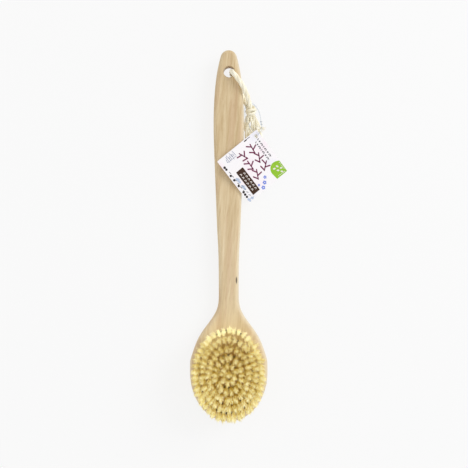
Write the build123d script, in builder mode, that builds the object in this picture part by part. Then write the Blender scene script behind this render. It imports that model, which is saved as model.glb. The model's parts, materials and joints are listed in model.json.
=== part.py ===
"""Long-handled body dry brush, lying on its back with the bristles up.

Frame: +X to the right, +Y along the handle to its hanging hole, +Z up. The origin is on the surface that
the brush lies on, under the middle of its length. Millimetres.
"""

import os
from math import cos, isclose, pi, radians, sin, tan

from build123d import *

# Wooden body, as an outline seen from above
BODY_LENGTH = 360.0
HALF_LENGTH = BODY_LENGTH / 2
TIP_RADIUS = 8.0
TIP_FLANK_ANGLE = 16.0
GRIP_HALF_WIDTH = 14.65
NECK_HALF_WIDTH = 9.65
NECK_Y = -54.0
HEAD_HALF_WIDTH = 37.7
HEAD_WIDEST_Y = -132.6

# Wooden body, seen from the side
HEAD_THICKNESS = 13.5
HEAD_FLAT_Y = -88.0
NECK_THICKNESS = 15.0
TIP_TOP_Z = 17.6
TIP_BACK_Z = 8.6
FRONT_EDGE_ROUND = 4.0
BACK_EDGE_ROUND = 4.8
RIM_SPLIT_Z = 9.0
BLANK_ALLOWANCE = 5.0

# Hanging hole
HOLE_X = 0.4
HOLE_Y = 158.5
HOLE_RADIUS = 5.3
HOLE_CHAMFER = 0.5

# Tufts: a centre one and oval rings
RING_COUNT = 5
RING_PITCH_X = 6.0
RING_PITCH_Y = 7.95
TUFT_SPACING = 4.8
TUFT_FIELD_Y = -131.5
TUFT_HOLE_RADIUS = 1.4
TUFT_HOLE_DEPTH = 8.0
TUFT_ROOT_RADIUS = 1.35
TUFT_ROOT_DEPTH = 7.9
TUFT_TIP_RADIUS = 2.3
TUFT_HEIGHT = 24.0

# Anchors: flat wire strips across the folds of the tufts
ANCHOR_THICKNESS = 0.35
ANCHOR_WIDTH = 2.4
ANCHOR_HEIGHT = 1.6
ANCHOR_CLEARANCE = 0.04
ANCHOR_LIFT = 0.7

# Hanging cord
CORD_RADIUS = 2.1
ARC_SHARE = 0.45
KNOT_CENTRE = (22.5, 121.4, 5.6)
KNOT_AXIS = (0.2, -0.98, 0.0)
KNOT_RADIUS = 4.7
KNOT_LENGTH = 9.6
KNOT_BAND_RADIUS = 1.3
LOOP_ROUTE = [
    (21.6, 123.6, 7.0),
    (19.7, 130.0, 10.6),
    (17.3, 137.4, 16.2),
    (12.6, 146.4, 20.9),
    (6.8, 153.6, 22.0),
    (3.1, 158.6, 20.6),
    (2.9, 159.0, 12.0),
    (3.1, 158.4, 2.5),
    (7.6, 150.0, 2.4),
    (11.6, 141.0, 2.4),
    (15.3, 132.6, 2.9),
    (19.4, 125.2, 4.4),
]
LONG_TAIL_ROUTE = [
    (20.2, 118.6, 5.0),
    (17.9, 113.6, 3.2),
    (17.3, 106.6, 2.4),
    (18.8, 99.6, 2.3),
    (20.6, 92.6, 2.3),
    (20.4, 86.2, 2.3),
]
SHORT_TAIL_ROUTE = [
    (24.5, 118.2, 5.2),
    (23.9, 112.6, 3.0),
    (26.4, 106.4, 2.3),
    (29.2, 100.2, 2.3),
    (30.4, 93.4, 2.3),
    (33.4, 88.0, 2.3),
]

# Card tag: a square that leans on the handle's edge
TAG_SIDE = 50.8
TAG_THICKNESS = 0.5
TAG_CORNER_ROUND = 0.8
TAG_CENTRE = (23.3, 67.8)
TAG_TURN = 40.1
TAG_LEAN = 15.6
TAG_LEAN_X = 10.0
TAG_LEAN_Z = 16.7
TAG_HOLE_RADIUS = 2.0
TAG_HOLE_INSET = 4.8

# Clear tie: a closed loop of thin plastic, from between the cord's legs to the tag's hole
TIE_RADIUS = 0.45
TIE_HOLE_REACH = 2.6
TIE_LOCK_RADIUS = 1.1
TIE_LOCK_LENGTH = 3.6
TIE_LOCK_ENDS = [(31.7, 108.4, 11.5), (31.4, 111.2, 10.7)]
TIE_RETURN_ROUTE = [
    (30.9, 101.2, 14.6),
    (32.1, 105.2, 12.9),
]
TIE_CORD_ROUTE = [
    (30.9, 115.2, 9.7),
    (29.8, 120.8, 8.4),
    (26.0, 127.6, 7.4),
    (20.2, 131.2, 7.0),
    (15.7, 126.0, 7.1),
    (15.6, 118.8, 7.6),
    (17.2, 111.8, 8.2),
    (21.2, 106.4, 8.4),
    (24.8, 101.4, 8.2),
]

os.makedirs("parts", exist_ok=True)


def head_top_plane():
    """The plane of the head's front face, centred on the tuft field."""
    return Plane(origin=(0, TUFT_FIELD_Y, HEAD_THICKNESS))


def ring_places(ring):
    """Centres of the tufts of one ring, evenly spaced along its oval; ring 0 is the centre tuft."""
    if ring == 0:
        return [Vector(0, 0, 0)]
    oval = Edge.make_ellipse(RING_PITCH_X * ring, RING_PITCH_Y * ring)
    tufts = round(oval.length / TUFT_SPACING)
    step = oval.length / tufts
    start = step / 2 * (ring % 2)
    distances = [start + step * tuft for tuft in range(tufts)]
    return oval.positions(distances, position_mode=PositionMode.LENGTH)


def corner_radii(points):
    """Arc radius at each inner point of a cord's route, as large as its two runs allow."""
    vectors = [Vector(*point) for point in points]
    radii = []
    for before, here, after in zip(vectors, vectors[1:], vectors[2:]):
        run_in, run_out = here - before, after - here
        half_turn = radians(run_in.get_angle(run_out)) / 2
        radii.append(ARC_SHARE * min(run_in.length, run_out.length) / tan(half_turn))
    return radii


def export_piece(piece, name):
    """Label one finished piece and write it."""
    piece.part.label = name
    export_step(piece.part, f"parts/{name}.step")


def export_cord(name, points):
    """Sweep one stretch of cord along its route and write it."""
    radii = corner_radii(points)
    with BuildPart() as cord:
        with BuildLine() as line:
            FilletPolyline(*points, radius=radii)
        path = line.wire()
        with BuildSketch(Plane(origin=path @ 0, z_dir=path % 0)):
            Circle(CORD_RADIUS)
        sweep(path=path)
    export_piece(cord, name)
    tube_volume = pi * CORD_RADIUS**2 * path.length
    print(name, "radii", [round(radius, 1) for radius in radii], "length", round(path.length, 1))
    print(name, "volume over section times length", round(cord.part.volume / tube_volume, 4))


# ---------------------------------------------------------------- wooden body
tip_flank = radians(TIP_FLANK_ANGLE)
tip_y = HALF_LENGTH - TIP_RADIUS
tip_shoulder = (TIP_RADIUS * sin(2 * tip_flank), tip_y + TIP_RADIUS * cos(2 * tip_flank))
tip_end = (TIP_RADIUS * cos(tip_flank), tip_y + TIP_RADIUS * sin(tip_flank))
head_end_length = HALF_LENGTH + HEAD_WIDEST_Y

overhang = HALF_LENGTH + BLANK_ALLOWANCE

with BuildPart() as wooden_body:
    with BuildSketch(Plane.XY.offset(-BLANK_ALLOWANCE)):
        with BuildLine():
            ThreePointArc((0, HALF_LENGTH), tip_shoulder, tip_end)
            Spline(
                tip_end,
                (11.0, 160.0),
                (13.5, 140.0),
                (GRIP_HALF_WIDTH, 116.0),
                (13.4, 63.0),
                (10.9, 0.0),
                (NECK_HALF_WIDTH, NECK_Y),
                tangents=[(sin(tip_flank), -cos(tip_flank)), (0, -1)],
            )
            Spline(
                (NECK_HALF_WIDTH, NECK_Y),
                (11.4, -70.5),
                (19.6, -84.5),
                (30.0, -100.0),
                (36.7, -118.0),
                (HEAD_HALF_WIDTH, HEAD_WIDEST_Y),
                tangents=[(0, -1), (0, -1)],
            )
            EllipticalCenterArc(
                (0, HEAD_WIDEST_Y),
                HEAD_HALF_WIDTH,
                head_end_length,
                start_angle=270,
                arc_size=90,
            )
            Line((0, -HALF_LENGTH), (0, HALF_LENGTH))
        make_face()
        mirror(about=Plane.YZ)
    extrude(amount=TIP_TOP_Z + 2 * BLANK_ALLOWANCE)
    with BuildSketch(Plane.YZ.offset(-HEAD_HALF_WIDTH - BLANK_ALLOWANCE)):
        with BuildLine():
            Polyline(
                (HEAD_FLAT_Y, 0),
                (-overhang, 0),
                (-overhang, HEAD_THICKNESS),
                (HEAD_FLAT_Y, HEAD_THICKNESS),
            )
            top_line = Spline(
                (HEAD_FLAT_Y, HEAD_THICKNESS),
                (-45, NECK_THICKNESS),
                (30, NECK_THICKNESS),
                (110, 16.0),
                (overhang, TIP_TOP_Z),
                tangents=[(1, 0), (1, 0)],
            )
            Line(top_line @ 1, (overhang, TIP_BACK_Z))
            Spline(
                (overhang, TIP_BACK_Z),
                (95, 2.6),
                (0, 0.12),
                (HEAD_FLAT_Y, 0),
                tangents=[(-1, -0.093), (-1, 0)],
            )
        make_face()
    extrude(amount=2 * (HEAD_HALF_WIDTH + BLANK_ALLOWANCE), mode=Mode.INTERSECT)
    rims = wooden_body.edges().filter_by(GeomType.LINE, reverse=True)
    fillet(rims.filter_by(lambda edge: edge.center().Z > RIM_SPLIT_Z), radius=FRONT_EDGE_ROUND)
    rims = wooden_body.edges().filter_by(GeomType.LINE, reverse=True)
    fillet(rims.filter_by(lambda edge: edge.center().Z < RIM_SPLIT_Z), radius=BACK_EDGE_ROUND)
    with Locations((HOLE_X, HOLE_Y, 0)):
        Cylinder(HOLE_RADIUS, 2 * TIP_TOP_Z, mode=Mode.SUBTRACT)
    round_walls = wooden_body.faces().filter_by(GeomType.CYLINDER)
    hole_wall = round_walls.filter_by(lambda wall: isclose(wall.radius, HOLE_RADIUS))[0]
    chamfer(hole_wall.edges().filter_by(GeomType.LINE, reverse=True), HOLE_CHAMFER)
    for ring in range(RING_COUNT + 1):
        with BuildSketch(head_top_plane()):
            with Locations(*ring_places(ring)):
                Circle(TUFT_HOLE_RADIUS)
        extrude(amount=-TUFT_HOLE_DEPTH, mode=Mode.SUBTRACT)
export_piece(wooden_body, "wooden_body")

# ---------------------------------------------------------------- tufts and their anchors
anchor_z = HEAD_THICKNESS - TUFT_ROOT_DEPTH + ANCHOR_LIFT + ANCHOR_HEIGHT / 2

for ring in range(RING_COUNT + 1):
    ring_name = f"ring_{ring}" if ring else "centre"
    with BuildPart() as tufts:
        with Locations(head_top_plane()):
            with Locations(*ring_places(ring)):
                Cylinder(TUFT_ROOT_RADIUS, TUFT_ROOT_DEPTH, align=(Align.CENTER, Align.CENTER, Align.MAX))
                Cone(
                    TUFT_ROOT_RADIUS,
                    TUFT_TIP_RADIUS,
                    TUFT_HEIGHT,
                    align=(Align.CENTER, Align.CENTER, Align.MIN),
                )
        with Locations((0, TUFT_FIELD_Y, anchor_z)):
            with Locations(*ring_places(ring)):
                Box(
                    ANCHOR_WIDTH + 2 * ANCHOR_CLEARANCE,
                    ANCHOR_THICKNESS + 2 * ANCHOR_CLEARANCE,
                    ANCHOR_HEIGHT + 2 * ANCHOR_CLEARANCE,
                    mode=Mode.SUBTRACT,
                )
    export_piece(tufts, f"tufts_{ring_name}")
    with BuildPart() as anchors:
        with Locations((0, TUFT_FIELD_Y, anchor_z)):
            with Locations(*ring_places(ring)):
                Box(ANCHOR_WIDTH, ANCHOR_THICKNESS, ANCHOR_HEIGHT)
    export_piece(anchors, f"anchors_{ring_name}")


# ---------------------------------------------------------------- hanging cord
export_cord("cord_loop", LOOP_ROUTE)
export_cord("cord_tail_long", LONG_TAIL_ROUTE)
export_cord("cord_tail_short", SHORT_TAIL_ROUTE)

# The knot: a barrel around the gathered cords, with one turn of cord across its middle
knot_axis = Vector(*KNOT_AXIS)
with BuildPart() as cord_knot:
    with BuildSketch(Plane(origin=KNOT_CENTRE, x_dir=(0, 0, 1), z_dir=Vector(0, 0, 1).cross(knot_axis))):
        with BuildLine():
            EllipticalCenterArc((0, 0), KNOT_RADIUS, KNOT_LENGTH / 2, start_angle=-90, arc_size=180)
            Line((0, KNOT_LENGTH / 2), (0, -KNOT_LENGTH / 2))
        make_face()
        with Locations((KNOT_RADIUS - KNOT_BAND_RADIUS / 3, 0)):
            Circle(KNOT_BAND_RADIUS)
    revolve(axis=Axis(KNOT_CENTRE, KNOT_AXIS))
export_piece(cord_knot, "cord_knot")

# ---------------------------------------------------------------- tag and its tie
lean = radians(TAG_LEAN)
turn = radians(TAG_TURN)
tag_centre_z = TAG_LEAN_Z - tan(lean) * (TAG_CENTRE[0] - TAG_LEAN_X)
tag_plane = Plane(
    origin=(*TAG_CENTRE, tag_centre_z),
    x_dir=(cos(turn), sin(turn), -tan(lean) * cos(turn)),
    z_dir=(sin(lean), 0, cos(lean)),
)
hole_offset = TAG_SIDE / 2 - TAG_HOLE_INSET

with BuildPart() as tag_card:
    with BuildSketch(tag_plane.offset(-TAG_THICKNESS / 2)):
        RectangleRounded(TAG_SIDE, TAG_SIDE, TAG_CORNER_ROUND)
        with Locations((hole_offset, hole_offset)):
            Circle(TAG_HOLE_RADIUS, mode=Mode.SUBTRACT)
    extrude(amount=TAG_THICKNESS)
export_piece(tag_card, "tag_card")

tag_hole = tag_plane.from_local_coords((hole_offset, hole_offset, 0))
lock_start, lock_end = Vector(*TIE_LOCK_ENDS[0]), Vector(*TIE_LOCK_ENDS[1])
tie_route = [
    lock_end,
    *[Vector(*point) for point in TIE_CORD_ROUTE],
    tag_hole - tag_plane.z_dir * TIE_HOLE_REACH,
    tag_hole + tag_plane.z_dir * TIE_HOLE_REACH,
    *[Vector(*point) for point in TIE_RETURN_ROUTE],
    lock_start,
]
lock_plane = Plane(origin=(lock_start + lock_end) / 2, z_dir=lock_end - lock_start)

with BuildPart() as tag_tie:
    with BuildLine() as tie_line:
        FilletPolyline(*tie_route, radius=corner_radii(tie_route))
    tie_path = tie_line.wire()
    with BuildSketch(Plane(origin=tie_path @ 0, z_dir=tie_path % 0)):
        Circle(TIE_RADIUS)
    sweep(path=tie_path)
    with Locations(lock_plane):
        Cylinder(TIE_LOCK_RADIUS, TIE_LOCK_LENGTH)
export_piece(tag_tie, "tag_tie")
print("tag hole at", tag_hole, "tie length", round(tie_path.length, 1))
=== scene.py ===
import json
import math

import bpy
import numpy as np
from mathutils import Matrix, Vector


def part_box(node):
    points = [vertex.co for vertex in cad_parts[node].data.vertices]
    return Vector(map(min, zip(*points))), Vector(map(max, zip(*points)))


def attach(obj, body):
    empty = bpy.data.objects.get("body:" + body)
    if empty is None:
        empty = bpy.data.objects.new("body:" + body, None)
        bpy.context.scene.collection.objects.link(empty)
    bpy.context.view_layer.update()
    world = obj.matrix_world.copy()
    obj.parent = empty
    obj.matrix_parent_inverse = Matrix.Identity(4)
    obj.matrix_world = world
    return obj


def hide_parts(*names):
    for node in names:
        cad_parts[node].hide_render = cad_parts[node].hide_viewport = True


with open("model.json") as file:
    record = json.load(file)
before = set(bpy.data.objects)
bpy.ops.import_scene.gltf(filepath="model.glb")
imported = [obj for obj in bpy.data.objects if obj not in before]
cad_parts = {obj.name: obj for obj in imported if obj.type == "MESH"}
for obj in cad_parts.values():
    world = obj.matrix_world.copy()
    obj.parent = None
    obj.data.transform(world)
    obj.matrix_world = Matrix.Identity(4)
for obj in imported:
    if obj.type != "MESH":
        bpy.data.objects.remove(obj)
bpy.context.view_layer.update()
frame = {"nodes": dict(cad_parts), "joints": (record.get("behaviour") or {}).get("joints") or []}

MM = 0.001
RING_NAMES = ["centre", "ring_1", "ring_2", "ring_3", "ring_4", "ring_5"]
OUTER_RING = len(RING_NAMES) - 1

# Routes of the cord and the tie, as in the CAD model, in metres
LOOP_ROUTE = [
    (0.0216, 0.1236, 0.0070),
    (0.0197, 0.1300, 0.0106),
    (0.0173, 0.1374, 0.0162),
    (0.0126, 0.1464, 0.0209),
    (0.0068, 0.1536, 0.0220),
    (0.0031, 0.1586, 0.0206),
    (0.0029, 0.1590, 0.0120),
    (0.0031, 0.1584, 0.0025),
    (0.0076, 0.1500, 0.0024),
    (0.0116, 0.1410, 0.0024),
    (0.0153, 0.1326, 0.0029),
    (0.0194, 0.1252, 0.0044),
]
LONG_TAIL_ROUTE = [
    (0.0202, 0.1186, 0.0050),
    (0.0179, 0.1136, 0.0032),
    (0.0173, 0.1066, 0.0024),
    (0.0188, 0.0996, 0.0023),
    (0.0206, 0.0926, 0.0023),
    (0.0204, 0.0862, 0.0023),
]
SHORT_TAIL_ROUTE = [
    (0.0245, 0.1182, 0.0052),
    (0.0239, 0.1126, 0.0030),
    (0.0264, 0.1064, 0.0023),
    (0.0292, 0.1002, 0.0023),
    (0.0304, 0.0934, 0.0023),
    (0.0334, 0.0880, 0.0023),
]
TIE_ROUTE = [
    (0.0314, 0.1112, 0.0107),
    (0.0309, 0.1152, 0.0097),
    (0.0298, 0.1208, 0.0084),
    (0.0260, 0.1276, 0.0074),
    (0.0202, 0.1312, 0.0070),
    (0.0157, 0.1260, 0.0071),
    (0.0156, 0.1188, 0.0076),
    (0.0172, 0.1118, 0.0082),
    (0.0212, 0.1064, 0.0084),
    (0.0248, 0.1014, 0.0082),
    (0.0255, 0.0968, 0.0097),
    (0.0269, 0.0968, 0.0147),
    (0.0309, 0.1012, 0.0146),
    (0.0321, 0.1052, 0.0129),
    (0.0317, 0.1084, 0.0115),
]
TIE_DIAMETER = 0.0009
KNOT_CENTRE = Vector((0.0225, 0.1214, 0.0056))
KNOT_AXIS = Vector((0.2, -0.98, 0.0)).normalized()
KNOT_SHIFT = np.array([-0.0006, 0.0006, 0.0])


# ---------------------------------------------------------------- small helpers
def new_mesh(name, points, faces, material, smooth=True):
    """A mesh object from arrays of points and faces."""
    mesh = bpy.data.meshes.new(name)
    mesh.from_pydata([tuple(p) for p in points], [], [tuple(f) for f in faces])
    mesh.update()
    if smooth:
        mesh.shade_smooth()
    piece = bpy.data.objects.new(name, mesh)
    bpy.context.scene.collection.objects.link(piece)
    if material:
        mesh.materials.append(material)
    return piece


def float_attribute(piece, name, values):
    """Store one number per point, for the piece's material."""
    attribute = piece.data.attributes.new(name, "FLOAT", "POINT")
    attribute.data.foreach_set("value", np.asarray(values, np.float32))


def smooth_line(name, points):
    """Points along the NURBS spline that has the given control points."""
    curve = bpy.data.curves.new(name, "CURVE")
    curve.dimensions = "3D"
    spline = curve.splines.new("NURBS")
    spline.points.add(len(points) - 1)
    for control, point in zip(spline.points, points):
        control.co = (*point, 1.0)
    spline.use_endpoint_u = True
    spline.order_u = 3
    spline.resolution_u = 16
    holder = bpy.data.objects.new(name, curve)
    bpy.context.scene.collection.objects.link(holder)
    bpy.context.view_layer.update()
    evaluated = holder.evaluated_get(bpy.context.evaluated_depsgraph_get())
    mesh = bpy.data.meshes.new_from_object(evaluated)
    line = np.array([v.co for v in mesh.vertices], float)
    bpy.data.objects.remove(holder)
    bpy.data.curves.remove(curve)
    bpy.data.meshes.remove(mesh)
    return line


def distances(line):
    """The distance of each point from the start, measured along the line."""
    return np.concatenate([[0.0], np.cumsum(np.linalg.norm(np.diff(line, axis=0), axis=1))])


def evenly(line, step):
    """The same line, with points a fixed step apart."""
    along = distances(line)
    count = max(4, int(round(along[-1] / step)))
    places = np.linspace(0, along[-1], count + 1)
    return np.stack([np.interp(places, along, line[:, k]) for k in range(3)], axis=1)


def frames_along(line):
    """Tangents and two turning-free side directions along a line."""
    tangents = np.gradient(line, axis=0)
    tangents /= np.linalg.norm(tangents, axis=1)[:, None]
    side = np.cross(tangents[0], [0.13, 0.27, 0.95])
    side /= np.linalg.norm(side)
    sides = [side]
    for tangent in tangents[1:]:
        side = side - tangent * np.dot(side, tangent)
        side /= np.linalg.norm(side)
        sides.append(side)
    sides = np.array(sides)
    return tangents, sides, np.cross(tangents, sides)


def tube_faces(rows, columns):
    """Quads of a tube whose points lie row after row, and its two end caps."""
    faces = []
    for here in range(0, (rows - 1) * columns, columns):
        there = here + columns
        for k in range(columns):
            after = (k + 1) % columns
            faces.append((here + k, here + after, there + after, there + k))
    faces.append(tuple(reversed(range(columns))))
    faces.append(tuple((rows - 1) * columns + k for k in range(columns)))
    return faces


def tube(line, radii, sides, lobes=0, lobe_depth=0.0, lobe_twist=0.0):
    """Points and faces of a tube; lobes press helical yarns into its surface."""
    _, side, up = frames_along(line)
    radii = np.broadcast_to(radii, len(line))
    angles = np.arange(sides) / sides * 2 * math.pi
    points = []
    for centre, s, u, radius, along in zip(line, side, up, radii, distances(line)):
        dent = 0.5 + 0.5 * np.cos(lobes * angles + lobe_twist * along)
        reach = radius * (1 - lobe_depth * dent)
        points.append(
            centre + np.outer(np.cos(angles) * reach, s) + np.outer(np.sin(angles) * reach, u)
        )
    return np.vstack(points), tube_faces(len(line), sides)


def joined(parts):
    """One set of points and faces from several."""
    points, faces, start = [], [], 0
    for part_points, part_faces in parts:
        points.append(part_points)
        faces.extend(tuple(i + start for i in face) for face in part_faces)
        start += len(part_points)
    return np.vstack(points), faces


def plies(line, count, ply_radius, lay_radius, pitch, loosen=1.0, phase=0.0):
    """The twisted plies of a cord along a line, with a yarn texture pressed into each ply."""
    _, side, up = frames_along(line)
    reach = np.broadcast_to(lay_radius * loosen, len(line))[:, None]
    parts = []
    for ply in range(count):
        turn = phase + distances(line) / pitch * 2 * math.pi + ply / count * 2 * math.pi
        centre = line + reach * (np.cos(turn)[:, None] * side + np.sin(turn)[:, None] * up)
        parts.append(tube(centre, ply_radius, 18, lobes=5, lobe_depth=0.13, lobe_twist=2600.0))
    return joined(parts)


# ---------------------------------------------------------------- materials
class Nodes:
    """A short way to write a material's nodes."""

    def __init__(self, name):
        self.material = bpy.data.materials.new(name)
        self.material.use_nodes = True
        self.tree = self.material.node_tree
        self.shader = self.tree.nodes["Principled BSDF"]

    def add(self, kind, **settings):
        node = self.tree.nodes.new(kind)
        for key, value in settings.items():
            setattr(node, key, value)
        return node

    def link(self, source, target):
        self.tree.links.new(source, target)

    def place(self, scale=(1, 1, 1), turn=(0, 0, 0), shift=(0, 0, 0)):
        """Object coordinates, turned and then scaled per metre."""
        vector = self.add("ShaderNodeTexCoord").outputs["Object"]
        for key, value in (("Rotation", turn), ("Scale", scale), ("Location", shift)):
            mapping = self.add("ShaderNodeMapping")
            mapping.inputs[key].default_value = value
            self.link(vector, mapping.inputs["Vector"])
            vector = mapping.outputs["Vector"]
        return vector

    def noise(self, vector, detail, roughness=0.5, distortion=0.0):
        node = self.add("ShaderNodeTexNoise")
        node.inputs["Scale"].default_value = 1.0
        node.inputs["Detail"].default_value = detail
        node.inputs["Roughness"].default_value = roughness
        node.inputs["Distortion"].default_value = distortion
        self.link(vector, node.inputs["Vector"])
        return node.outputs["Fac"]

    def math(self, operation, *values):
        node = self.add("ShaderNodeMath", operation=operation)
        for socket, value in zip(node.inputs, values):
            if isinstance(value, (int, float)):
                socket.default_value = value
            else:
                self.link(value, socket)
        return node.outputs[0]

    def ramp(self, factor, stops):
        node = self.add("ShaderNodeValToRGB")
        elements = node.color_ramp.elements
        while len(elements) < len(stops):
            elements.new(0.5)
        for element, (position, colour) in zip(elements, stops):
            element.position = position
            element.color = (*colour, 1.0)
        self.link(factor, node.inputs["Fac"])
        return node.outputs["Color"]

    def mix(self, factor, first, second):
        """Two colours mixed by a linked factor."""
        node = self.add("ShaderNodeMix", data_type="RGBA")
        self.link(factor, node.inputs[0])
        for socket, value in ((node.inputs[6], first), (node.inputs[7], second)):
            if isinstance(value, tuple):
                socket.default_value = (*value, 1.0)
            else:
                self.link(value, socket)
        return node.outputs[2]

    def map_range(self, value, low, high, to_low, to_high):
        node = self.add("ShaderNodeMapRange", interpolation_type="SMOOTHSTEP")
        limits = {"From Min": low, "From Max": high, "To Min": to_low, "To Max": to_high}
        for key, number in limits.items():
            node.inputs[key].default_value = number
        self.link(value, node.inputs["Value"])
        return node.outputs["Result"]

    def attribute(self, name):
        return self.add("ShaderNodeAttribute", attribute_name=name).outputs["Fac"]

    def axes(self, vector):
        node = self.add("ShaderNodeSeparateXYZ")
        self.link(vector, node.inputs[0])
        return node.outputs

    def distance(self, x, y, centre, reach=(1.0, 1.0)):
        """Distance from a centre in X and Y, with each axis divided by its own reach."""
        squares = []
        for value, middle, half in zip((x, y), centre, reach):
            offset = self.math("DIVIDE", self.math("SUBTRACT", value, middle), half)
            squares.append(self.math("MULTIPLY", offset, offset))
        return self.math("SQRT", self.math("ADD", *squares))

    def bump(self, height, strength, distance):
        node = self.add("ShaderNodeBump")
        node.inputs["Strength"].default_value = strength
        node.inputs["Distance"].default_value = distance
        self.link(height, node.inputs["Height"])
        return node.outputs["Normal"]

    def finish(self, colour, roughness, normal, **constants):
        for source, key in ((colour, "Base Color"), (roughness, "Roughness"), (normal, "Normal")):
            self.link(source, self.shader.inputs[key])
        for key, value in constants.items():
            self.shader.inputs[key.replace("_", " ")].default_value = value
        return self.material


def srgb(red, green, blue):
    """A linear colour from 0 to 255 values."""
    return tuple(((v / 255 + 0.055) / 1.055) ** 2.4 for v in (red, green, blue))


GRAIN_LEAN = 5.0
PIN_KNOT_CENTRE = (0.0076, -0.0425)
PIN_KNOT_REACH = (0.0008, 0.0033)
HANGING_HOLE_CENTRE = (0.0004, 0.1585)
# Distances from the hole's centre over which the painted shade in the hanging hole fades out
HOLE_SHADE_REACH = (0.0052, 0.0063)


def wood_material():
    n = Nodes("pale_wood")
    lean = (0, 0, math.radians(GRAIN_LEAN))
    wander = n.noise(n.place((14, 2.2, 14), lean), detail=2.0)
    broad = n.noise(n.place((95, 2.6, 95), lean), detail=3.0, roughness=0.55, distortion=0.4)
    streaks = n.noise(n.place((400, 24, 400), lean), detail=4.0, roughness=0.66, distortion=0.5)
    blush = n.noise(n.place((210, 14, 210), lean, (3.0, 1.0, 0.0)), detail=2.0)
    pores = n.noise(n.place((2600, 60, 2600), lean), detail=2.0, roughness=0.6)
    tone = n.math("MULTIPLY_ADD", broad, 0.62, n.math("MULTIPLY_ADD", streaks, 1.05, -0.345))
    tone = n.math("MULTIPLY_ADD", wander, 0.3, n.math("SUBTRACT", tone, 0.15))
    colour = n.ramp(
        tone,
        [
            (0.30, srgb(198, 171, 128)),
            (0.44, srgb(211, 187, 146)),
            (0.56, srgb(220, 198, 159)),
            (0.70, srgb(230, 211, 176)),
        ],
    )
    x, y, _ = n.axes(n.place())
    # Painted light: the wood is painted paler toward the head, to lift the shade that the tufts throw
    # on the wood beside them
    colour = n.mix(n.map_range(y, -0.10, 0.13, 0.34, 0.0), colour, srgb(232, 213, 178))
    colour = n.mix(n.map_range(blush, 0.50, 0.68, 0.0, 0.38), colour, srgb(206, 172, 138))
    pore_mask = n.map_range(pores, 0.56, 0.72, 0.0, 0.32)
    colour = n.mix(pore_mask, colour, srgb(168, 132, 86))
    # A pin knot low on the handle, drawn out along the grain
    from_knot = n.distance(x, y, PIN_KNOT_CENTRE, PIN_KNOT_REACH)
    colour = n.mix(n.map_range(from_knot, 0.50, 1.4, 1.0, 0.0), colour, srgb(62, 40, 16))
    # Painted shade: the wall of the hanging hole and the rim round its mouth are darkened, as shade
    # falling in the hole
    from_hole = n.distance(x, y, HANGING_HOLE_CENTRE)
    colour = n.mix(n.map_range(from_hole, *HOLE_SHADE_REACH, 0.45, 0.0), colour, srgb(150, 112, 66))
    # Painted highlight: surfaces that face +X, the rounded right-hand edge above all, are painted paler
    # and greyer, as a cool sheen of the key light
    facing, _, _ = n.axes(n.add("ShaderNodeNewGeometry").outputs["Normal"])
    colour = n.mix(n.map_range(facing, 0.25, 0.85, 0.0, 0.5), colour, srgb(222, 212, 188))
    height = n.math("MULTIPLY_ADD", pores, 0.6, n.math("MULTIPLY", streaks, 0.4))
    normal = n.bump(height, 0.22, 0.00025)
    roughness = n.map_range(streaks, 0.3, 0.75, 0.50, 0.66)
    return n.finish(colour, roughness, normal, IOR=1.45)


def bristle_material():
    n = Nodes("natural_bristle")
    tone = n.attribute("tone")
    height = n.attribute("height")
    body = n.ramp(
        tone,
        [
            (0.0, srgb(192, 168, 84)),
            (0.35, srgb(236, 224, 150)),
            (0.7, srgb(250, 243, 196)),
            (1.0, srgb(255, 253, 234)),
        ],
    )
    speckle = n.noise(n.place((900, 900, 140)), detail=2.0)
    body = n.mix(n.map_range(speckle, 0.35, 0.75, 0.0, 0.2), body, srgb(222, 208, 128))
    # Painted highlight: the rows next to the handle lean away from it and show their sides, which are
    # painted paler as if lit
    _, along, _ = n.axes(n.place())
    body = n.mix(n.map_range(along, -0.108, -0.094, 0.0, 0.45), body, srgb(255, 252, 226))
    # Painted shade darkens the bristles low in the tufts; the outermost tufts stand in the open, are
    # spared it, and look pale all the way down
    inner = n.math("SUBTRACT", 1.0, n.attribute("open"))
    root_shade_mask = n.math("MULTIPLY", n.map_range(height, 0.2, 0.95, 0.8, 0.0), inner)
    # The darker yellow here is painted shade, not a colour of the bristle roots
    root = n.mix(root_shade_mask, body, srgb(200, 174, 82))
    # Painted highlight: the topmost ends of the bristles are painted near white
    tip = n.mix(n.map_range(height, 0.93, 1.0, 0.0, 0.75), root, srgb(255, 252, 214))
    normal = n.bump(speckle, 0.1, 0.00005)
    roughness = n.map_range(speckle, 0.3, 0.7, 0.36, 0.5)
    # Painted glow: the bristles emit light of their own, darker low in the tufts, standing in for light
    # that passes through them from their neighbours
    glow_depth = n.math("MULTIPLY", n.map_range(height, 0.60, 0.98, 1.0, 0.0), inner)
    glow = n.mix(glow_depth, tip, srgb(176, 146, 54))
    n.link(glow, n.shader.inputs["Emission Color"])
    return n.finish(tip, roughness, normal, IOR=1.5, Emission_Strength=0.34)


def cord_material():
    n = Nodes("cotton_cord")
    fibre = n.noise(n.place((1500, 1500, 1500)), detail=4.0, roughness=0.65)
    cloud = n.noise(n.place((160, 160, 160)), detail=2.0)
    tone = n.math("MULTIPLY_ADD", fibre, 0.5, n.math("MULTIPLY", cloud, 0.5))
    colour = n.ramp(
        tone,
        [
            (0.3, srgb(236, 225, 192)),
            (0.5, srgb(249, 242, 218)),
            (0.7, srgb(255, 253, 242)),
        ],
    )
    normal = n.bump(fibre, 0.35, 0.0002)
    roughness = n.map_range(fibre, 0.3, 0.7, 0.78, 0.92)
    return n.finish(colour, roughness, normal, Sheen_Weight=0.25, Sheen_Roughness=0.5)


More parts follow.
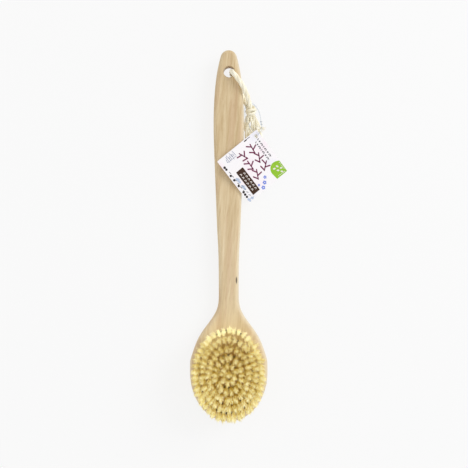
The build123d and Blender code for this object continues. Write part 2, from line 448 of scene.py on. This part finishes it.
def card_material():
    n = Nodes("printed_card")
    fibre = n.noise(n.place((700, 700, 700)), detail=4.0, roughness=0.6)
    wash = n.noise(n.place((55, 55, 55), shift=(0.4, 0.1, 0.0)), detail=1.0)
    colour = n.mix(n.map_range(wash, 0.50, 0.72, 0.0, 0.55), srgb(244, 241, 243), srgb(246, 226, 236))
    colour = n.mix(n.map_range(wash, 0.46, 0.26, 0.0, 0.7), colour, srgb(228, 228, 240))
    colour = n.mix(n.map_range(fibre, 0.3, 0.8, 0.0, 0.12), colour, srgb(215, 208, 208))
    normal = n.bump(fibre, 0.08, 0.00006)
    roughness = n.map_range(fibre, 0.3, 0.7, 0.32, 0.44)
    return n.finish(colour, roughness, normal, IOR=1.5)


def ink_material(name, colour, darker):
    """Printing ink with a slightly uneven cover."""
    n = Nodes(name)
    cover = n.noise(n.place((1100, 1100, 1100)), detail=3.0)
    body = n.mix(n.map_range(cover, 0.35, 0.75, 0.0, 0.5), srgb(*colour), srgb(*darker))
    normal = n.bump(cover, 0.05, 0.00003)
    roughness = n.map_range(cover, 0.3, 0.7, 0.42, 0.56)
    return n.finish(body, roughness, normal, Specular_IOR_Level=0.12)


def clear_material():
    n = Nodes("clear_nylon")
    flow = n.noise(n.place((500, 500, 500)), detail=2.0)
    normal = n.bump(flow, 0.12, 0.0001)
    roughness = n.map_range(flow, 0.3, 0.7, 0.10, 0.22)
    colour = n.mix(n.map_range(flow, 0.3, 0.7, 0.0, 1.0), srgb(236, 240, 244), srgb(222, 228, 236))
    return n.finish(colour, roughness, normal, Transmission_Weight=0.96, IOR=1.30)


def wire_material():
    n = Nodes("drawn_wire")
    drawn = n.noise(n.place((4000, 400, 4000)), detail=2.0)
    colour = n.mix(n.map_range(drawn, 0.3, 0.7, 0.0, 1.0), srgb(196, 192, 184), srgb(150, 146, 138))
    normal = n.bump(drawn, 0.2, 0.00005)
    roughness = n.map_range(drawn, 0.3, 0.7, 0.28, 0.42)
    return n.finish(colour, roughness, normal, Metallic=1.0)


WOOD = wood_material()
BRISTLE = bristle_material()
CORD = cord_material()
CARD = card_material()
CLEAR = clear_material()
WIRE = wire_material()


def repaint(node, material):
    """Give a CAD node that stays its own finish."""
    mesh = frame["nodes"][node].data
    mesh.materials.clear()
    mesh.materials.append(material)


repaint("wooden_body", WOOD)
repaint("tag_card", CARD)
for ring in RING_NAMES:
    repaint(f"anchors_{ring}", WIRE)

# ---------------------------------------------------------------- bristles
FACE_Z = 0.0135
FIELD_Y = -0.1315
RING_PITCH = (0.0060, 0.00795)
OVAL_SPOTS = 721
TUFT_SPACING = 0.0048
BRISTLE_LENGTH = 0.0240
LENGTH_STRAY = 0.00060
LONGEST_EXTRA = 0.0008
ROOT_RADIUS = 0.00125
ROOT_DEPTH = 0.0005
TIP_REACH_OUT = 0.0040
TIP_REACH_ALONG = 0.0027
TIP_DOME = 0.17
TIP_STRAY = 0.00022
WIDE_SHARE = 0.07
WIDE_REACH = 1.35
OUTER_LEAN = 0.0020
HANDLE_LEAN = 0.0005
TUFT_STRAY = 0.00045
BOW_STRAY = 0.00022
STRANDS = 108
STRAND_RADIUS = 0.00019
STRAND_TAPER = 0.72
STRAND_ROWS = 4
STRAND_SIDES = 3
# How much each ring's tufts are spared the painted shade and glow low in the tuft, from the centre out
RING_LIGHT_EXPOSURE = (0.0, 0.0, 0.0, 0.08, 0.3, 0.85)
draw = np.random.default_rng(11)


def ring_places(ring):
    """Centres of one ring's tufts, evenly spaced along its oval."""
    if ring == 0:
        return np.array([[0.0, 0.0]])
    angles = np.linspace(0, 2 * math.pi, OVAL_SPOTS)
    oval = np.stack([np.cos(angles), np.sin(angles)], axis=1) * ring * np.array(RING_PITCH)
    along = distances(oval)
    count = round(along[-1] / TUFT_SPACING)
    step = along[-1] / count
    places = step / 2 * (ring % 2) + step * np.arange(count)
    return np.stack([np.interp(places, along, oval[:, k]) for k in range(2)], axis=1)


def tuft_strands(place, outward):
    """Centrelines and tones of one tuft's bristles."""
    count = STRANDS
    turn = draw.uniform(0, 2 * math.pi, count)
    share = draw.uniform(0, 1, count) ** 0.62
    out = outward / np.linalg.norm(outward) if outward.any() else np.array([1.0, 0.0])
    along = np.array([-out[1], out[0]])
    root = np.outer(np.cos(turn) * share, out) + np.outer(np.sin(turn) * share, along)
    root = root * ROOT_RADIUS
    splay = share * (1 + draw.normal(0, 0.06)) * draw.normal(1.0, 0.14, count)
    splay = splay * np.where(draw.uniform(0, 1, count) < WIDE_SHARE, WIDE_REACH, 1.0)
    turn_tip = turn + draw.normal(0, 0.12, count)
    tip = np.outer(splay * np.cos(turn_tip) * TIP_REACH_OUT, out)
    tip = tip + np.outer(splay * np.sin(turn_tip) * TIP_REACH_ALONG, along)
    lean = outward * OUTER_LEAN + np.array([0, HANDLE_LEAN]) + draw.normal(0, TUFT_STRAY, 2)
    tip = tip + lean + draw.normal(0, TIP_STRAY, (count, 2))
    reach = BRISTLE_LENGTH * (1 - TIP_DOME * share**2) + draw.normal(0, LENGTH_STRAY, count)
    reach = np.minimum(reach, BRISTLE_LENGTH + LONGEST_EXTRA)
    bow = draw.normal(0, BOW_STRAY, (count, 2))
    steps = np.linspace(0, 1, STRAND_ROWS)
    ease = steps**1.25
    flat = root[:, None, :] * (1 - ease)[None, :, None] + tip[:, None, :] * ease[None, :, None]
    flat = flat + bow[:, None, :] * np.sin(math.pi * steps)[None, :, None]
    centre = np.empty((count, STRAND_ROWS, 3))
    centre[:, :, 0] = place[0] + flat[:, :, 0]
    centre[:, :, 1] = FIELD_Y + place[1] + flat[:, :, 1]
    centre[:, :, 2] = FACE_Z - ROOT_DEPTH + (reach[:, None] + ROOT_DEPTH) * steps[None, :]
    tone = np.clip(draw.normal(0.5, 0.32, count) + draw.normal(0, 0.08), 0, 1)
    return centre, tone


def bristle_ring(ring):
    """One piece for all the bristles of a ring, each a thin closed strand."""
    centres, tones, exposures = [], [], []
    for place in ring_places(ring):
        length = np.linalg.norm(place)
        outward = place / length * (ring / OUTER_RING) if length else np.zeros(2)
        centre, tone = tuft_strands(place, outward)
        centres.append(centre)
        tones.append(tone)
        # Tufts on the handle side are spared more of the painted shade
        facing_handle = max(0.0, place[1]) / max(length, 1e-9)
        exposures.append(np.full(STRANDS, RING_LIGHT_EXPOSURE[ring] * (0.55 + 0.65 * facing_handle**2)))
    centre, tone, exposure = (np.concatenate(rows) for rows in (centres, tones, exposures))
    count = len(centre)
    start = draw.uniform(0, 2 * math.pi, count)
    taper = np.linspace(1.0, STRAND_TAPER, STRAND_ROWS) * STRAND_RADIUS
    points = np.repeat(centre[:, :, None, :], STRAND_SIDES, axis=2)
    for side in range(STRAND_SIDES):
        angle = start + side * 2 * math.pi / STRAND_SIDES
        points[:, :, side, 0] += np.cos(angle)[:, None] * taper[None, :]
        points[:, :, side, 1] += np.sin(angle)[:, None] * taper[None, :]
    per_strand = STRAND_ROWS * STRAND_SIDES
    strand_faces = tube_faces(STRAND_ROWS, STRAND_SIDES)
    starts = np.arange(count)[:, None, None] * per_strand
    quads = (starts + np.array(strand_faces[:-2])).reshape(-1, 4).tolist()
    caps = (starts + np.array(strand_faces[-2:])).reshape(-1, STRAND_SIDES).tolist()
    piece = new_mesh(f"bristles_{RING_NAMES[ring]}", points.reshape(-1, 3), quads + caps, BRISTLE)
    float_attribute(piece, "tone", np.repeat(tone, per_strand))
    float_attribute(piece, "open", np.repeat(np.clip(exposure, 0, 1), per_strand))
    float_attribute(piece, "height", (points[:, :, :, 2].ravel() - FACE_Z) / BRISTLE_LENGTH)
    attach(piece, "brush")
    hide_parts(f"tufts_{RING_NAMES[ring]}")


for ring in range(len(RING_NAMES)):
    bristle_ring(ring)

# ---------------------------------------------------------------- cord, knot and tails
PLIES = 3
PLY_RADIUS = 0.00145
LAY_RADIUS = 0.00112
TWIST_PITCH = 0.0230
TAIL_PITCH = TWIST_PITCH * 1.7
KNOT_PITCH = TWIST_PITCH * 2.2
KNOT_PLY_RADIUS = 0.00122
KNOT_LAY_RADIUS = 0.00100
CORD_STEP = 0.0005
CORD_LOWEST_Z = 0.0001
KNOT_LOWEST_Z = 0.0002


def cord_piece(name, geometry, node=None, lowest=0.0):
    """A piece of cord stuff, pressed flat where it would pass below its lowest height."""
    points, faces = geometry
    points[:, 2] = np.maximum(points[:, 2], lowest)
    piece = new_mesh(name, points, faces, CORD)
    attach(piece, "hanging_cord")
    if node:
        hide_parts(node)
    return piece


loop_line = evenly(smooth_line("loop_line", LOOP_ROUTE), CORD_STEP)
loop_plies = plies(loop_line, PLIES, PLY_RADIUS, LAY_RADIUS, TWIST_PITCH)
cord_piece("hanging_loop", loop_plies, "cord_loop", CORD_LOWEST_Z)


FRAY_ROWS = 7
FRAY_RADII = (0.00022, 0.00013)
FRAY_ROOT_RADIUS = 0.0016
FRAY_ROOT_BACK = 0.0012
FRAY_BEND = 0.0006
FRAY_LOWEST_Z = 0.0003


def fray(line, count, spread, length, seed):
    """Loose yarns that fan out from the end of a tail."""
    pick = np.random.default_rng(seed)
    tangents, side, up = frames_along(line)
    end, ahead, s, u = line[-1], tangents[-1], side[-1], up[-1]
    parts = []
    for _ in range(count):
        turn, share = pick.uniform(0, 2 * math.pi), math.sqrt(pick.uniform(0, 1))
        sideways = (math.cos(turn) * s + math.sin(turn) * u) * share
        root = end - ahead * FRAY_ROOT_BACK + sideways * FRAY_ROOT_RADIUS
        out = sideways * spread
        reach = length * pick.uniform(0.55, 1.0)
        bend = pick.normal(0, FRAY_BEND, 3)
        steps = np.linspace(0, 1, FRAY_ROWS)[:, None]
        strand = root + ahead * reach * steps + out * steps**1.6 + bend * np.sin(steps * math.pi)
        strand[:, 2] = np.maximum(strand[:, 2], FRAY_LOWEST_Z)
        parts.append(tube(strand, np.linspace(*FRAY_RADII, FRAY_ROWS), 6))
    return joined(parts)


def tail(name, node, route, seed, phase, extra=()):
    """One tail: plies that open toward a frayed end."""
    line = evenly(smooth_line(f"{name}_line", route), CORD_STEP)
    share = np.linspace(0, 1, len(line))
    loosen = 1 + 1.15 * np.clip((share - 0.10) / 0.60, 0, 1)
    tail_plies = plies(line, PLIES, PLY_RADIUS, LAY_RADIUS, TAIL_PITCH, loosen, phase)
    piece = cord_piece(name, tail_plies, node, CORD_LOWEST_Z)
    frayed = fray(line, count=46, spread=0.0034, length=0.0065, seed=seed)
    ends = cord_piece(f"{name}_frayed_end", frayed)


def loose_yarns():
    """Untwisted yarns that fan out of the knot between and over the tails, down to the card."""
    pick = np.random.default_rng(31)
    parts = []
    # Stations of each yarn in millimetres: across the knot, down from it, above the table
    fan = (
        ((-2.2, 2.0, 3.4), (-5.6, 6.2, 4.6), (-4.6, 11.0, 3.4), (-5.4, 15.0, 3.0), (-4.8, 20.0, 3.0)),
        ((-1.2, 2.6, 5.4), (-3.6, 7.4, 6.0), (-2.8, 12.0, 4.8), (-3.4, 16.0, 4.4), (-2.4, 20.5, 3.8)),
        ((0.2, 2.4, 5.8), (-0.6, 7.0, 6.6), (1.2, 11.2, 5.6), (0.4, 15.4, 4.6), (0.9, 20.5, 4.0)),
        ((1.2, 2.6, 5.0), (2.4, 6.8, 5.6), (2.0, 10.6, 4.6), (3.6, 14.4, 4.4), (3.2, 19.5, 3.6)),
        ((2.2, 2.2, 4.2), (4.4, 6.4, 4.4), (5.2, 10.8, 4.0), (6.6, 14.2, 4.2), (7.4, 17.6, 3.4)),
        ((2.6, 3.0, 3.0), (5.0, 7.8, 3.2), (7.2, 11.0, 3.4), (8.2, 13.4, 3.0), (10.2, 15.4, 2.6)),
    )
    for number, stations in enumerate(fan):
        route = []
        for across, down, height in stations:
            wobble = pick.normal(0, 0.2, 3)
            x = KNOT_CENTRE.x + (across - 0.6 + wobble[0]) * MM
            y = KNOT_CENTRE.y - (down + wobble[1]) * MM
            route.append((x, y, (height + wobble[2]) * MM))
        line = evenly(smooth_line(f"yarn_{number}", route), CORD_STEP)
        share = np.linspace(0, 1, len(line))
        radii = np.interp(share, (0, 0.3, 0.8, 1), (1.1, 1.3, 1.05, 0.5)) * MM
        parts.append(tube(line, radii, 16, lobes=5, lobe_depth=0.22, lobe_twist=500.0))
        if number > 2:
            parts.append(fray(line, count=16, spread=0.0026, length=0.0050, seed=40 + number))
    return cord_piece("loose_yarns", joined(parts))


def knot():
    """The cord's own turns around itself, pulled tight."""
    side = KNOT_AXIS.cross(Vector((0, 0, 1))).normalized()
    up = Vector((0, 0, 1))

    def at(across, along, height):
        return tuple(KNOT_CENTRE + side * across * MM + KNOT_AXIS * along * MM + up * height * MM)

    wrap = []
    for step in range(13):
        angle = math.radians(-70 + step * 32)
        wrap.append(at(4.1 * math.cos(angle), 0.2 - 0.15 * step, 3.5 * math.sin(angle)))
    turns = (
        ((-2.9, -4.4, 1.6), (-3.0, -1.6, -0.6), (-2.4, 1.0, -1.4), (-0.6, 3.0, 0.6), (-0.8, 4.8, 1.4)),
        ((1.4, -4.6, 1.2), (2.8, -2.2, -0.2), (3.2, 0.6, 0.4), (2.6, 3.0, 1.6), (1.6, 5.0, 1.0)),
        ((-2.8, 1.4, 0.4), (-1.2, 2.4, 2.2), (1.2, 2.9, 2.3), (3.0, 2.6, 0.6)),
    )
    parts = []
    for number, route in enumerate([wrap] + [[at(*spot) for spot in turn] for turn in turns]):
        line = evenly(smooth_line(f"knot_turn_{number}", route), CORD_STEP)
        parts.append(plies(line, 2, KNOT_PLY_RADIUS, KNOT_LAY_RADIUS, KNOT_PITCH, phase=number * 1.3))
    points, faces = joined(parts)
    cord_piece("tied_knot", (points + KNOT_SHIFT, faces), "cord_knot", KNOT_LOWEST_Z)


tail("long_tail", "cord_tail_long", LONG_TAIL_ROUTE, 21, 0.4, [loose_yarns()])
tail("short_tail", "cord_tail_short", SHORT_TAIL_ROUTE, 22, 1.9)
knot()

# ---------------------------------------------------------------- clear tie
TIE_STEP = 0.0004
tie_line = evenly(smooth_line("tie_line", TIE_ROUTE), TIE_STEP)
lock_start, lock_end = Vector(TIE_ROUTE[-1]), Vector(TIE_ROUTE[0])
lock_ahead = (lock_end - lock_start).normalized()
# Places along the lock and its radius there: two beads with a waist between them
lock_steps = np.array([-1.8, -1.75, -1.55, -0.6, -0.45, 0.45, 0.6, 1.55, 1.75, 1.8]) * MM
lock_radii = np.array([0.55, 0.85, 1.05, 1.05, 0.85, 0.85, 1.05, 1.05, 0.85, 0.55]) * MM
lock_line = np.array([(lock_start + lock_end) / 2 + lock_ahead * step for step in lock_steps])
tie = new_mesh("clear_tie", *tube(tie_line, TIE_DIAMETER / 2, 12), CLEAR)
tie_lock = new_mesh("clear_tie_lock", *tube(lock_line, lock_radii, 24), CLEAR)
for piece in (tie, tie_lock):
    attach(piece, "hanging_cord")
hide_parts("tag_tie")

# ---------------------------------------------------------------- print on the card
TAG_SIDE = 0.0508
TAG_TURN = 40.1
TAG_THICKNESS = 0.0005
INK_THICKNESS = 0.00004
card_low, card_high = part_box("tag_card")
tag_joint = next(j for j in frame["joints"] if j["name"] == "tag_swing")
card_normal = Vector(tag_joint["axis"]).normalized()
card_turn = math.radians(TAG_TURN)
card_slope = -math.tan(math.asin(card_normal.x)) * math.cos(card_turn)
card_across = Vector((math.cos(card_turn), math.sin(card_turn), card_slope)).normalized()
card_up = card_normal.cross(card_across).normalized()
card_centre = (card_low + card_high) / 2


def on_card(u, v, lift):
    """A point on the card's printed face; u and v run from 0 to 1 from its left corner."""
    across = card_across * (u - 0.5) * TAG_SIDE
    down = card_up * (0.5 - v) * TAG_SIDE
    return card_centre + across + down + card_normal * (TAG_THICKNESS / 2 + lift)


def turned(u, v, a, b, turn):
    """A spot on the card at the offset (a, b) from (u, v), with the offset turned."""
    return (
        u + a * math.cos(turn) - b * math.sin(turn),
        v + a * math.sin(turn) + b * math.cos(turn),
    )


class Print:
    """Closed, very thin shapes of one ink on the card."""

    def __init__(self, name, material, level=0):
        self.name, self.material = name, material
        self.base = level * INK_THICKNESS - INK_THICKNESS / 2
        self.points, self.faces = [], []

    def shape(self, outline):
        start, count = len(self.points), len(outline)
        for lift in (self.base, self.base + INK_THICKNESS * 1.5):
            self.points.extend(on_card(u, v, lift) for u, v in outline)
        self.faces.append(tuple(start + count + k for k in reversed(range(count))))
        self.faces.append(tuple(start + k for k in range(count)))
        for k in range(count):
            after = (k + 1) % count
            self.faces.append((start + k, start + count + k, start + count + after, start + after))

    def disc(self, u, v, radius, sides=12, stretch=1.0, turn=0.0):
        outline = []
        for k in range(sides):
            angle = 2 * math.pi * k / sides
            a, b = radius * math.cos(angle) * stretch, radius * math.sin(angle)
            outline.append(turned(u, v, a, b, turn))
        self.shape(outline)

    def bar(self, start, end, width):
        """A stroke with rounded ends."""
        (u0, v0), (u1, v1) = start, end
        turn = math.atan2(v1 - v0, u1 - u0)
        outline = []
        for (u, v), first in ((start, math.pi / 2), (end, -math.pi / 2)):
            for k in range(7):
                angle = turn + first + math.pi * k / 6
                outline.append((u + math.cos(angle) * width / 2, v + math.sin(angle) * width / 2))
        self.shape(outline)

    def build(self):
        piece = new_mesh(self.name, self.points, self.faces, self.material, smooth=False)
        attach(piece, "tag")


def sprig(ink, u, v, size, turn, leaves):
    """A plain sprig: a stem with leaves on both sides."""

    def spot(a, b):
        return turned(u, v, size * a, size * b, turn)

    ink.bar(spot(0, -0.5), spot(0, 0.5), 0.022)
    for k in range(leaves):
        along = -0.34 + 0.66 * k / (leaves - 1)
        side = 1 if k % 2 else -1
        ink.bar(spot(0, along + 0.14), spot(side * 0.46, along - 0.14), 0.026)


maroon = Print("print_sprigs", ink_material("maroon_ink", (124, 50, 86), (88, 34, 62)))
for u, rows, first_turn, turn_step in (
    (0.705, (0.235, 0.45, 0.645), 8, 22),
    (0.475, (0.235, 0.455, 0.675), -24, 26),
):
    for index, v in enumerate(rows):
        sprig(maroon, u, v, 0.19, math.radians(first_turn + turn_step * index), 3)
maroon.build()

brown = Print("print_panel", ink_material("brown_ink", (70, 48, 36), (42, 28, 20)))
brown.shape([(0.16, 0.39), (0.33, 0.39), (0.33, 0.93), (0.16, 0.93)])
brown.build()

white = Print("print_panel_marks", ink_material("white_ink", (232, 226, 222), (204, 196, 190)), level=1)
for column, u in enumerate((0.212, 0.282)):
    for k in range(6):
        v = 0.475 + 0.07 * k + 0.02 * column
        white.bar((u - 0.013, v - 0.008), (u + 0.013, v + 0.008), 0.013)
        white.bar((u - 0.010, v + 0.026), (u + 0.012, v + 0.020), 0.010)
for u, v, turn in (
    (0.81, 0.80, 20),
    (0.885, 0.80, 60),
    (0.85, 0.87, 40),
    (0.93, 0.87, 15),
    (0.90, 0.935, 45),
):
    white.disc(u, v, 0.017, stretch=1.7, turn=math.radians(turn))
for k in range(5):
    white.bar((0.79 + 0.036 * k, 0.955), (0.805 + 0.036 * k, 0.972), 0.010)
    white.bar((0.960, 0.765 + 0.034 * k), (0.976, 0.780 + 0.034 * k), 0.009)
white.build()

grey = Print("print_dashes", ink_material("grey_ink", (118, 118, 122), (80, 80, 86)))
for u, first, last in ((0.835, 0.19, 0.66), (0.905, 0.17, 0.60)):
    for k in range(int((last - first) / 0.043)):
        v = first + 0.043 * k
        grey.bar((u - 0.014, v), (u + 0.012, v + 0.012 * (k % 3 - 1)), 0.016)
        if k % 2:
            grey.bar((u, v - 0.014), (u + 0.004, v + 0.018), 0.012)
for k in range(6):
    grey.bar((0.060, 0.30 + 0.088 * k), (0.066, 0.34 + 0.088 * k), 0.014)
for k in range(4):
    grey.bar((0.095, 0.66 + 0.07 * k), (0.115, 0.69 + 0.07 * k), 0.012)
grey.build()

sketch = Print("print_sketch", ink_material("slate_ink", (132, 140, 166), (104, 112, 138)))
for k in range(9):
    u = 0.16 + 0.024 * k
    top = 0.05 + 0.03 * math.cos(k * 1.9)
    sketch.bar((u, top), (u + 0.012 * (k % 3 - 1), 0.140 + 0.03 * math.sin(k * 2.3)), 0.009)
sketch.bar((0.15, 0.145), (0.37, 0.150), 0.007)
sketch.build()

black = Print("print_dots", ink_material("black_ink", (52, 46, 46), (34, 30, 30)))
for u, v, size in (
    (0.042, 0.180, 0.026),
    (0.046, 0.230, 0.024),
    (0.040, 0.375, 0.024),
    (0.042, 0.480, 0.024),
    (0.042, 0.620, 0.025),
    (0.044, 0.770, 0.025),
    (0.040, 0.825, 0.025),
    (0.040, 0.880, 0.023),
):
    black.disc(u, v, size)
black.bar((0.665, 0.030), (0.715, 0.030), 0.022)
black.bar((0.735, 0.028), (0.800, 0.028), 0.010)
black.build()

wash = Print("print_washes", ink_material("wash_ink", (186, 198, 218), (162, 176, 204)))
for u, v, length in (
    (0.095, 0.49, 0.09),
    (0.095, 0.66, 0.08),
    (0.035, 0.935, 0.04),
    (0.105, 0.950, 0.02),
):
    wash.bar((u, v), (u + 0.01, v + length), 0.044)
    wash.bar((u + 0.022, v + 0.01), (u + 0.045, v + 0.5 * length), 0.014)
wash.build()

green = Print("print_badge", ink_material("green_ink", (150, 196, 56), (116, 168, 36)))
outline = [(0.99, 0.99), (0.99, 0.735)]
for k in range(13):
    angle = math.radians(285 - 120 * k / 12)
    outline.append((0.865 + 0.15 * math.cos(angle), 0.845 + 0.15 * math.sin(angle)))
outline.append((0.735, 0.99))
green.shape(outline)
green.build()

blue = Print("print_flowers", ink_material("blue_ink", (122, 142, 222), (92, 108, 196)))
for u, v, size in (
    (0.56, 0.81, 0.034),
    (0.49, 0.885, 0.040),
    (0.41, 0.945, 0.040),
    (0.37, 0.855, 0.024),
):
    for petal in range(5):
        blue.disc(*turned(u, v, size * 0.62, 0.0, 2 * math.pi * petal / 5), size * 0.40, sides=10)
blue.build()

# ---------------------------------------------------------------- floor, light and camera
FLOOR_REACH = 12.0
corners = [(x * FLOOR_REACH, y * FLOOR_REACH, 0) for x, y in ((-1, -1), (1, -1), (1, 1), (-1, 1))]
floor = new_mesh("floor", corners, [(0, 1, 2, 3)], None, smooth=False)
floor_paint = Nodes("studio_floor")
for key, value in (
    ("Base Color", (0.15, 0.15, 0.15, 1)),
    ("Roughness", 0.9),
    ("Emission Color", (1, 1, 1, 1)),
    ("Emission Strength", 0.79),
):
    floor_paint.shader.inputs[key].default_value = value
floor.data.materials.append(floor_paint.material)

world = bpy.data.worlds.new("studio")
world.use_nodes = True
background = world.node_tree.nodes["Background"]
background.inputs["Color"].default_value = (1, 1, 1, 1)
background.inputs["Strength"].default_value = 0.80
bpy.context.scene.world = world

KEY_PLACE = Vector((1.9, 1.1, 1.5))
KEY_AIM = Vector((0, -0.02, 0))
key_data = bpy.data.lights.new("key", "AREA")
key_data.shape = "DISK"
key_data.size = 1.6
key_data.energy = 26.0
key_light = bpy.data.objects.new("key", key_data)
key_light.location = KEY_PLACE
key_light.rotation_euler = (KEY_AIM - KEY_PLACE).to_track_quat("-Z", "Y").to_euler()
bpy.context.scene.collection.objects.link(key_light)

CAMERA_HEIGHT = 0.790
CAMERA_X = 0.0051
CAMERA_Y = 0.0022
VIEW_WIDTH = 0.453024
SENSOR_WIDTH = 36.0
camera_data = bpy.data.cameras.new("camera")
camera_data.sensor_width = SENSOR_WIDTH
camera_data.lens = SENSOR_WIDTH * CAMERA_HEIGHT / VIEW_WIDTH
camera_data.clip_start = 0.01
camera = bpy.data.objects.new("camera", camera_data)
camera.location = (CAMERA_X, CAMERA_Y, FACE_Z + CAMERA_HEIGHT)
bpy.context.scene.collection.objects.link(camera)
bpy.context.scene.camera = camera
bpy.context.scene.view_settings.view_transform = "Standard"
